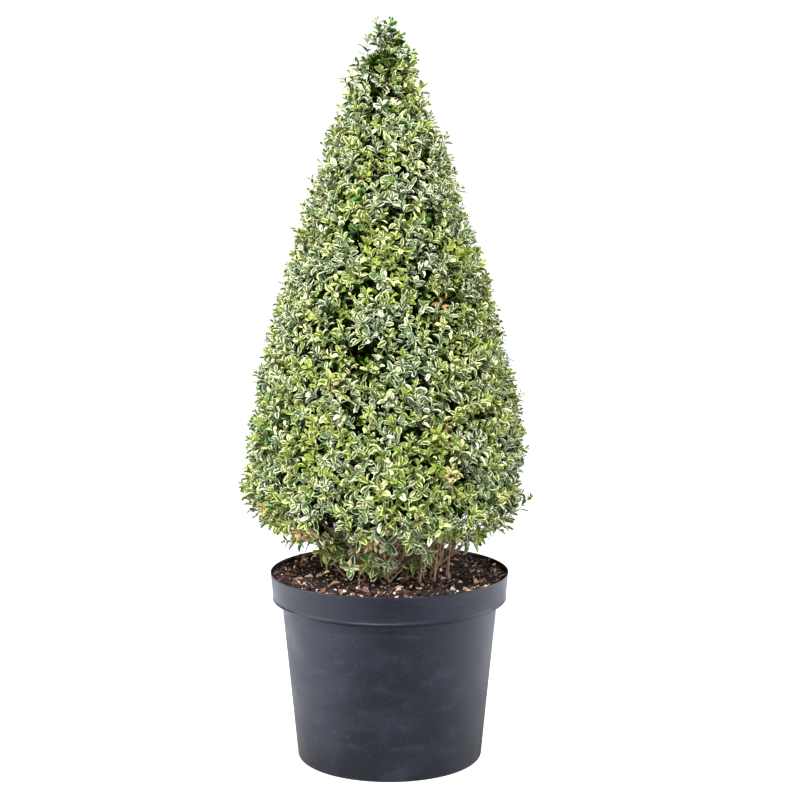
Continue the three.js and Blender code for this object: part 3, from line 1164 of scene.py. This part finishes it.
# Height, heading in degrees, size and kind of each small patch that stands out by its colour.
PATCHES = [
    (0.372, -69, 0.017, "pale"),
    (0.453, -63, 0.009, "dead"),
    (0.372, -155, 0.020, "dead"),
    (0.657, -139, 0.020, "pale"),
    (0.582, -111, 0.013, "dead"),
    (0.692, -72, 0.015, "dead"),
    (0.785, -57, 0.018, "green"),
    (0.460, 20, 0.015, "pale"),
    (0.620, 110, 0.016, "green"),
]
PATCH_TINTS = {
    "pale": [("young", "butter"), ("young", "young"), ("butter", "young")],
    "dead": [("straw", "rust"), ("straw", "straw"), ("young", "straw")],
    "green": [("plain", "plain"), ("plain", "leaf"), ("lime", "young")],
}


# Where the highest shoots end.
PEAKS = [
    (-0.018, -0.004, 1.060),
    (0.002, -0.010, 1.056),
    (-0.004, -0.012, 1.050),
    (-0.013, 0.010, 1.052),
    (0.004, 0.003, 1.044),
    (-0.030, -0.002, 1.036),
]


# ---- Limbs --------------------------------------------------------------------------------
def limb_tree():
    """A tree that gives chains of points a round skin, with bark ridges along them."""
    tree, given = geometry_tree(
        "Limbs",
        {
            "Sides": ("NodeSocketInt", 8),
            "Relief": ("NodeSocketFloat", 0.0),
            "Grain": ("NodeSocketVector", (1.0, 1.0, 1.0)),
            "Finish": ("NodeSocketMaterial", None),
        },
    )
    curve = put(tree, "GeometryNodeMeshToCurve", {"Mesh": given.outputs["Geometry"]})
    inputs = {"Resolution": given.outputs["Sides"], "Radius": 1.0}
    ring = put(tree, "GeometryNodeCurvePrimitiveCircle", inputs)
    thickness = attribute(tree, "thickness", "FLOAT")
    skin = put(
        tree,
        "GeometryNodeCurveToMesh",
        {"Curve": out(curve), "Profile Curve": out(ring), "Scale": thickness, "Fill Caps": True},
    )
    place = times(tree, out(put(tree, "GeometryNodeInputPosition")), given.outputs["Grain"])
    grain = put(tree, "ShaderNodeTexNoise", {"Vector": place, "Scale": 1.0, "Detail": 3.0})
    ridge = maths(tree, "SUBTRACT", grain.outputs["Fac"], 0.5)
    ridge = maths(tree, "MULTIPLY", ridge, given.outputs["Relief"])
    outward = out(put(tree, "GeometryNodeInputNormal"))
    push = put(tree, "ShaderNodeVectorMath", {0: outward, "Scale": ridge}, operation="SCALE")
    bark = put(tree, "GeometryNodeSetPosition", {"Geometry": out(skin), "Offset": out(push)})
    smooth = put(tree, "GeometryNodeSetShadeSmooth", {0: out(bark)})
    return end_tree(tree, out(smooth), [given.outputs["Finish"]])


def chains(name, limbs):
    """Limbs as chains of edges, with a thickness at each point."""
    verts, edges, thickness = [], [], []
    for line, radii in limbs:
        start = len(verts)
        verts += line
        thickness += radii
        edges += [(start + i, start + i + 1) for i in range(len(line) - 1)]
    mesh = bpy.data.meshes.new(name)
    mesh.from_pydata(verts, edges, [])
    return with_values(mesh, thickness=np.array(thickness, np.float32))


def make_limbs(plant):
    """The trunk, stems, boughs and twigs, each kind a piece."""
    growth = grown(plant)
    tree = limb_tree()
    bark, twig = bark_material(plant), plain("twig_bark", plant.twig, 0.7, 0.3)
    inside = plain("shaded_bark", linear("3d3a20"), 0.8, 0.1)
    pale = plain("low_twig_bark", plant.low_twig, 0.7, 0.3)
    smooth = (1, 1, 1)
    for name, kind, points, sides, relief, grain, finish, nodes in (
        ("trunk_bark", "trunk", 150, 26, 2.4, (480, 480, 70), bark, ["trunk"]),
        ("stem_bark", "stems", 90, 12, 1.2, (700, 700, 150), bark, STEMS),
        ("low_shoots", "forks", 30, 8, 0.5, (900, 900, 240), bark, []),
        ("boughs", "boughs", None, 6, 0.0, smooth, inside, []),
        ("twigs", "twigs", None, 3, 0.0, smooth, twig, []),
        ("low_twigs", "low twigs", None, 5, 0.0, smooth, pale, []),
    ):
        limbs = growth.limbs[kind]
        if points:
            limbs = [refined(line, radii, points) for line, radii in limbs]
        settings = {"Sides": sides, "Relief": plant.relief * relief, "Grain": grain, "Finish": finish}
        kept(run_tree(tree, name, chains(name, limbs), settings), "bark", *nodes)


def refined(line, radii, count):
    """The same limb with more points along it, smoothly bent."""
    at = np.linspace(0, len(line) - 1, count)
    smooth = []
    for s in at:
        i = min(int(s), len(line) - 2)
        t = s - i
        a, b, c, d = (line[max(0, min(len(line) - 1, i + k))] for k in (-1, 0, 1, 2))
        bow, twist = 2 * a - 5 * b + 4 * c - d, 3 * b - a - 3 * c + d
        smooth.append(0.5 * (2 * b + (c - a) * t + bow * t * t + twist * t**3))
    return smooth, [float(r) for r in np.interp(at, range(len(radii)), radii)]


# ---- Leaves -------------------------------------------------------------------------------
def folded(fold, curl):
    """Gives the corners of a leaf that is folded along its midrib and curls back to its tip."""

    def spot(x, t):
        return (x, t, 0.45 * fold * abs(x) - curl * t * t * 0.6 + 0.06 * t)

    return spot


def leaf_full(rng, green):
    """A leaf with an uneven cream margin round a green middle, which takes this share of its width."""
    stations = ((0.37, 0.26), (0.5, 0.58), (0.34, 0.87))
    spot = folded(rng.uniform(0.1, 1.25), rng.uniform(0.05, 0.8))
    verts = [spot(0, 0), spot(0, 1), spot(rng.uniform(-0.03, 0.03), 0.9 + 0.08 * green)]
    verts += [spot(0, t) for _, t in stations]
    for side in (-1, 1):
        for w, t in stations:
            share = min(0.97, max(0.12, green + rng.uniform(-0.2, 0.2)))
            verts.append(spot(side * w * share, t))
        verts += [spot(side * w, t + rng.uniform(-0.02, 0.02)) for w, t in stations]
    faces, parts = [], []
    for inner, outer in ((6, 9), (12, 15)):
        side = [(0, 3, inner), (3, 4, inner + 1, inner), (4, 5, inner + 2, inner + 1), (5, 2, inner + 2)]
        edge = [
            (0, inner, outer),
            (inner, inner + 1, outer + 1, outer),
            (inner + 1, inner + 2, outer + 2, outer + 1),
            (inner + 2, 2, 1, outer + 2),
        ]
        if inner == 12:
            side, edge = [f[::-1] for f in side], [f[::-1] for f in edge]
        faces += side + edge
        parts += [0] * 4 + [1] * 4
    return leaf_mesh(verts, faces, parts)


def leaf_half(rng, green):
    """A simpler leaf with a margin, for leaves that are partly hidden."""
    spot = folded(rng.uniform(0.12, 0.3), rng.uniform(0.02, 0.2))
    verts = [spot(0, 0), spot(0, 1), spot(0, 0.9)]
    for side in (-1, 1):
        for share in (green, 1):
            verts += [spot(side * w * share, t) for w, t in ((0.43, 0.32), (0.45, 0.74))]
    faces, parts = [], []
    for i in (3, 7):
        made = [(0, 2, i + 1, i), (0, i, i + 2), (i, i + 1, i + 3, i + 2), (i + 1, 2, 1, i + 3)]
        faces += [f[::-1] for f in made] if i == 7 else made
        parts += [0, 1, 1, 1]
    return leaf_mesh(verts, faces, parts)


def leaf_flat(rng, _):
    """A folded leaf of four faces, for the leaves behind."""
    rise = rng.uniform(0.05, 0.2)
    verts = [(0, 0, 0), (0, 0.55, 0.02), (0, 1, -0.1), (-0.5, 0.55, rise), (0.5, 0.55, rise)]
    return leaf_mesh(verts, [(0, 1, 3), (1, 2, 3), (0, 4, 1), (1, 4, 2)], [0] * 4)


def leaf_mesh(verts, faces, parts):
    """A template leaf, one long and one wide, base at the origin and upper side up."""
    mesh = bpy.data.meshes.new("leaf")
    mesh.from_pydata(verts, [], faces)
    mesh.attributes.new("part", "INT", "FACE").data.foreach_set("value", parts)
    return mesh


def leaf_tree(materials):
    """A tree that puts a leaf at each point, turned, sized, shaped and tinted by the point's values."""
    tree, given = geometry_tree("Leaves", {"Shapes": ("NodeSocketCollection", None)})
    ways = {0: attribute(tree, "along", "FLOAT_VECTOR"), 1: attribute(tree, "face", "FLOAT_VECTOR")}
    turn = out(put(tree, "FunctionNodeAxesToRotation", ways, primary_axis="Y", secondary_axis="Z"))
    shape, size = attribute(tree, "shape", "INT"), attribute(tree, "size", "FLOAT_VECTOR")
    leaves = placed_shapes(tree, given, given.outputs["Geometry"], shape, turn, size)
    inputs = {
        "Switch": equals(tree, attribute(tree, "part", "INT"), 1),
        "False": attribute(tree, "middle", "INT"),
        "True": attribute(tree, "margin", "INT"),
    }
    tint = put(tree, "GeometryNodeSwitch", inputs, input_type="INT")
    return end_tree(tree, leaves, materials, out(tint))


# Roughness and specular level of the leaf colours that differ from the rest.
SHINE = {
    "teal": (0.36, 0.5),
    "sage": (0.38, 0.42),
    "leaf": (0.42, 0.36),
    "white": (0.42, 0.5),
    "cream": (0.42, 0.5),
    "shade": (0.6, 0.03),
    "dark": (0.55, 0.06),
}


# The layers that close the view behind the leaves of the surface.
HIDDEN = ("deep", "core", "heart")


# The tints of a spray, for its old, grown and young leaves: (middle, margin) of each.
# SHADED, DIM and HALF_LIT are painted shade, darkest first: the leaves inside the plant get dark tints
# and few cream margins, for the shade among them.
SHADED = [("shade", "shade"), ("shade", "shade"), ("dark", "dark")]
DIM = [("shade", "dark"), ("dark", "sage"), ("leaf", "olive")]
HALF_LIT = [("dark", "olive"), ("leaf", "sage"), ("leaf", "cream")]
GREEN_TOP = [("plain", "plain"), ("dark", "plain"), ("plain", "young")]
REVERTED = [("plain", "plain"), ("plain", "leaf"), ("lime", "young")]
DRY = [("rust", "rust"), ("straw", "rust"), ("rust", "straw")]
# PALE_FOOT's white margins are partly the low leaves' own colour and partly painted light, for the light
# that the crown keeps off them.
PALE_FOOT = [("teal", "white"), ("sage", "white"), ("sage", "cream")]

# Those of the sprays of the surface, from yellowest to bluest, and where each begins.
SURFACE = [
    (0.48, [("leaf", "butter"), ("olive", "butter"), ("lime", "young")]),
    (0.20, [("leaf", "cream"), ("olive", "cream"), ("olive", "butter")]),
    (-0.08, [("dark", "cream"), ("leaf", "cream"), ("olive", "butter")]),
    (-0.36, [("dark", "white"), ("sage", "white"), ("sage", "cream")]),
    (-math.inf, [("teal", "white"), ("teal", "white"), ("sage", "white")]),
]


def patches_of(growth):
    """The middle, size and tints of each patch of another colour."""
    found = []
    for height, heading, size, kind in PATCHES:
        a = math.radians(heading)
        found.append((around(a, growth.reach(height, a), height), size, PATCH_TINTS[kind]))
    return found


def mood_at(rng, place, layer, patches):
    """The tints of one spray."""
    for middle, size, tints in patches:
        if layer not in HIDDEN and (place - middle).length < size and rng.random() < 0.8:
            return tints
    if layer in HIDDEN:
        return SHADED
    if layer == "inner":
        return DIM if rng.random() < 0.6 else HALF_LIT
    coarse, fine = noise.noise(place * 13 + Vector((5, 2, 9))), noise.noise(place * 40)
    warmth = 0.5 * coarse + 0.65 * fine + rng.uniform(-0.6, 0.6) + 0.03
    if place.z > 1.0 and rng.random() < (0.3 if place.z > 1.03 else 0.12):
        return GREEN_TOP
    reverted = noise.noise(place * 14 + Vector((8, 1, 4))) + 0.35 * (place.z - 0.5)
    if reverted > 0.55 and place.z > 0.5 and rng.random() < 0.25:
        return REVERTED
    dry = 0.0025 if place.z > GROUND + 0.105 else 0.07 if place.x < -0.04 else 0.03
    if place.z < 0.9 and rng.random() < dry:
        return DRY
    if place.z < GROUND + 0.06 and rng.random() < 0.6:
        return PALE_FOOT
    return next(tints for start, tints in SURFACE if warmth > start)


def leaf_growth(k, pairs):
    """How far one pair of leaves on a shoot has grown, which the last pairs have least."""
    if pairs <= 2:
        return (1.0, 0.85, 0.6)[k]
    return (0.5, 0.74, 0.94, 1.0)[min(3, pairs - k)]


def leaves_of(plant, growth):
    """Every leaf, by kind: place, directions, size, shape, tints, and the mass it stands for."""
    rng = random.Random(plant.seed + 1)
    patches = patches_of(growth)
    found = {"full": [], "half": [], "flat": []}
    for layer, mass, shoot, way in growth.sprays:
        base, middle, tip = shoot
        mood = mood_at(rng, tip, layer, patches)
        step = plant.pair_step * (1.0 if layer == "outer" else 1.35)
        pairs = max(2, round((tip - base).length / step))
        vigour = rng.uniform(0.76, 1.2)
        lush = lerp(1.15, 0.96, min(1.0, max(0.0, (tip.z - 0.36) / 0.2)))
        lush = lush + 0.12 * (tip.z > 0.98) + 0.22 * (layer in HIDDEN)
        side = way.orthogonal().normalized()
        turn = rng.uniform(0, math.pi)
        for k in range(pairs + 1):
            t = k / pairs
            spot = base.lerp(middle, 2 * t) if t < 0.5 else middle.lerp(tip, 2 * t - 1)
            size = leaf_growth(k, pairs)
            spread = math.radians(lerp(30, 68, (1 - t) ** 0.7) + rng.uniform(-9, 9))
            turn += math.pi / 2 + rng.uniform(-0.25, 0.25)
            for half in (0, math.pi):
                if rng.random() < 0.07:
                    continue
                out_way = Matrix.Rotation(turn + half + rng.uniform(-0.15, 0.15), 3, way) @ side
                lean = spread + math.radians(rng.uniform(-15, 15))
                along = way * math.cos(lean) + out_way * math.sin(lean)
                face = way * math.sin(lean) - out_way * math.cos(lean)
                face = (face + any_direction(rng) * 0.5 + UP * 0.12).normalized()
                long = plant.leaf_length * lush * vigour * size * rng.uniform(0.8, 1.15)
                wide = plant.leaf_width * lush * vigour * size**0.8 * rng.uniform(0.72, 1.15)
                youth = min(2, max(0, int(t * 2.2 + rng.uniform(0, 1.2))))
                tints = [TINT[key] for key in mood[youth]]
                start = spot + out_way * 0.0008
                if min(start.z + along.z * long, start.z) < GROUND + 0.002:
                    continue
                near_tip = layer == "outer" and k >= pairs - 3
                kind = "flat" if layer in HIDDEN else "full" if near_tip else "half"
                found[kind].append((start, along, face, (wide, long, long), rng.random(), *tints, mass))
    return found


def make_leaves(plant):
    """All leaves, joined by kind and height into pieces."""
    growth = grown(plant)
    rng = random.Random(plant.seed + 2)
    materials = [
        plain(f"leaf_{key}", getattr(plant, key), *SHINE.get(key, (0.5, 0.25)))
        for key, _, _ in LEAF_COLOURS
    ]
    tree = leaf_tree(materials)
    greens = [0.22, 0.42, 0.52, 0.60, 0.66, 0.71, 0.76, 0.82, 0.90]
    most_faces = 190000
    leaves = leaves_of(plant, growth)
    for kind, make, label, faces in (
        ("full", leaf_full, "outer", 26),
        ("half", leaf_half, "inner", 14),
        ("flat", leaf_flat, "shaded", 4),
    ):
        shapes = stock(f"leaf_{kind}", [make(rng, green) for green in greens])
        chosen = sorted(leaves[kind], key=lambda leaf: leaf[0].z)
        count = math.ceil(len(chosen) * faces / most_faces)
        for i in range(count):
            part = chosen[i * len(chosen) // count : (i + 1) * len(chosen) // count]
            spots, along, face, size, shape, middle, margin, masses = zip(*part)
            mesh = bpy.data.meshes.new("leaf_points")
            mesh.from_pydata(spots, [], [])
            with_values(
                mesh,
                along=np.array(along, np.float32),
                face=np.array(face, np.float32),
                size=np.array(size, np.float32),
                shape=np.array([int(pick * len(greens)) for pick in shape], np.int32),
                middle=np.array(middle, np.int32),
                margin=np.array(margin, np.int32),
            )
            name = f"leaves_{label}_{i + 1}"
            piece = run_tree(tree, name, mesh, {"Shapes": shapes})
            kept(piece, "foliage", *(MASSES if name == "leaves_outer_1" else sorted(set(masses))))
        clear_stock(shapes)


_GROWN = {}


def grown(plant):
    """The plant for these settings, grown once."""
    key = (plant.seed, plant.boughs, plant.forks, plant.uprights, plant.spacing)
    if key not in _GROWN:
        _GROWN[key] = Growth(plant)
    return _GROWN[key]


# ---- Stage --------------------------------------------------------------------------------
def seen_straight(tree):
    """1 where a surface is seen by the camera itself, and 0 where it lights or is mirrored."""
    return put(tree, "ShaderNodeLightPath").outputs["Is Camera Ray"]


def make_stage():
    """A pale floor, soft lights and the camera. The floor also carries painted light for the pot to
    mirror.
    """
    scene = bpy.context.scene
    scene.view_settings.view_transform = "Standard"
    floor = piece_of(bpy.data.meshes.new("floor"), "floor")
    floor.data.from_pydata([(-9, -9, 0), (9, -9, 0), (9, 9, 0), (-9, 9, 0)], [], [(0, 1, 2, 3)])
    pale, tree, shader = material_of("pale_floor")
    shader.inputs["Roughness"].default_value = 0.9
    shader.inputs["Emission Color"].default_value = (0.86, 0.88, 1, 1)
    spot = put(tree, "ShaderNodeSeparateXYZ", {"Vector": object_place(tree)})
    # Painted light: the floor's base colour is lighter within about 0.4 m of the pot. The pot mirrors
    # this pool and it bounces onto the pot, while the camera sees the floor evenly white.
    away = put(tree, "ShaderNodeVectorMath", {0: object_place(tree)}, operation="LENGTH")
    painted_light_pool = stepped(tree, out(away, "Value"), 0.38, 0.62, 0.5, 0.30)
    tree.links.new(painted_light_pool, shader.inputs["Base Color"])
    # Painted reflections: in mirrored rays only, the floor glows pale blue at the left and right of the
    # pot, so the pot's sides mirror light that no lamp gives.
    left = stepped(tree, out(spot, "X"), -0.12, -0.50, 0.0, 1.9)
    right = stepped(tree, out(spot, "X"), 0.16, 0.62, 0.0, 1.8)
    mirrored = put(tree, "ShaderNodeLightPath").outputs["Is Glossy Ray"]
    painted_reflection = maths(tree, "MULTIPLY", maths(tree, "ADD", left, right), mirrored)
    straight = scaled(tree, seen_straight(tree), 1.25)
    tree.links.new(maths(tree, "ADD", painted_reflection, straight), shader.inputs["Emission Strength"])
    floor.data.materials.append(pale)
    floor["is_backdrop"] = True

    world = bpy.data.worlds.new("studio")
    world.use_nodes = True
    sky = world.node_tree
    air = sky.nodes["Background"]
    air.inputs["Color"].default_value = (1, 1, 1, 1)
    sky.links.new(scaled(sky, seen_straight(sky), 1.02, 0.05), air.inputs["Strength"])
    scene.world = world

    aim = Vector((0, 0, 0.6))
    for name, place, size, power, tone in (
        ("key", (-0.8, -2.3, 2.9), 0.22, 180, (1, 1, 1)),
        ("left", (-2.4, -0.6, 1.0), 2.2, 84, (1, 0.985, 0.82)),
        ("right", (2.3, 0.5, 1.0), 2.1, 62, (1, 0.985, 0.82)),
        ("front", (1.5, -2.8, 1.3), 0.5, 42, (1, 1, 1)),
    ):
        light = bpy.data.lights.new(name, "AREA")
        light.color = tone
        light.size = size
        light.energy = power
        lamp = bpy.data.objects.new(name, light)
        lamp.location = place
        lamp.rotation_euler = (aim - Vector(place)).to_track_quat("-Z", "Y").to_euler()
        scene.collection.objects.link(lamp)
        lamp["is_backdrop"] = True

    camera = bpy.data.objects.new("camera", bpy.data.cameras.new("camera"))
    camera.data.lens = 87.53
    camera.data.sensor_width = 36
    camera.location = (0, -2.767, 0.904)
    camera.rotation_euler = (math.radians(90 - 7.8), 0, math.radians(-0.316))
    scene.collection.objects.link(camera)
    scene.camera = camera


# ---- Operators and panel ------------------------------------------------------------------
# The operators, in the order that main calls them.
STEPS = ("pot", "compost", "limbs", "leaves", "stage")


class BOXWOOD_OT_pot(bpy.types.Operator):
    """Makes the nursery pot"""

    bl_idname = "boxwood.pot"
    bl_label = "Pot"

    def execute(self, context):
        make_pot(context.scene.boxwood.pot)
        return {"FINISHED"}


class BOXWOOD_OT_compost(bpy.types.Operator):
    """Makes the compost, and the chips that lie on it"""

    bl_idname = "boxwood.compost"
    bl_label = "Compost"

    def execute(self, context):
        make_compost(context.scene.boxwood.compost)
        return {"FINISHED"}


class BOXWOOD_OT_limbs(bpy.types.Operator):
    """Grows the trunk, stems, boughs and twigs"""

    bl_idname = "boxwood.limbs"
    bl_label = "Trunk and limbs"

    def execute(self, context):
        make_limbs(context.scene.boxwood.plant)
        return {"FINISHED"}


class BOXWOOD_OT_leaves(bpy.types.Operator):
    """Puts the leaves on the twigs"""

    bl_idname = "boxwood.leaves"
    bl_label = "Leaves"

    def execute(self, context):
        make_leaves(context.scene.boxwood.plant)
        return {"FINISHED"}


class BOXWOOD_OT_stage(bpy.types.Operator):
    """Sets up the floor, the lights and the camera"""

    bl_idname = "boxwood.stage"
    bl_label = "Stage"

    def execute(self, context):
        make_stage()
        return {"FINISHED"}


class BOXWOOD_PT_panel(bpy.types.Panel):
    """Lists the pieces and their settings"""

    bl_label = "Clipped boxwood"
    bl_space_type = "VIEW_3D"
    bl_region_type = "UI"
    bl_category = "Boxwood"

    def draw(self, context):
        settings = context.scene.boxwood
        groups = {"pot": settings.pot, "compost": settings.compost, "limbs": settings.plant}
        for step in STEPS:
            box = self.layout.box()
            box.operator(f"boxwood.{step}")
            if step in groups:
                for key in groups[step].__annotations__:
                    box.prop(groups[step], key)


CLASSES = (
    BoxwoodPotSettings,
    BoxwoodCompostSettings,
    BoxwoodPlantSettings,
    BoxwoodSettings,
    BOXWOOD_OT_pot,
    BOXWOOD_OT_compost,
    BOXWOOD_OT_limbs,
    BOXWOOD_OT_leaves,
    BOXWOOD_OT_stage,
    BOXWOOD_PT_panel,
)


def register():
    for cls in CLASSES:
        bpy.utils.register_class(cls)
    bpy.types.Scene.boxwood = PointerProperty(type=BoxwoodSettings)


def unregister():
    del bpy.types.Scene.boxwood
    for cls in reversed(CLASSES):
        bpy.utils.unregister_class(cls)


def main():
    """Makes every piece in order."""
    register()
    for step in STEPS:
        getattr(bpy.ops.boxwood, step)()
    boxes = {"cad": CAD_BOX, "visual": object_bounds()}
    plain_boxes = {key: [list(map(float, corner)) for corner in box] for key, box in boxes.items()}


if __name__ == "__main__":
    main()
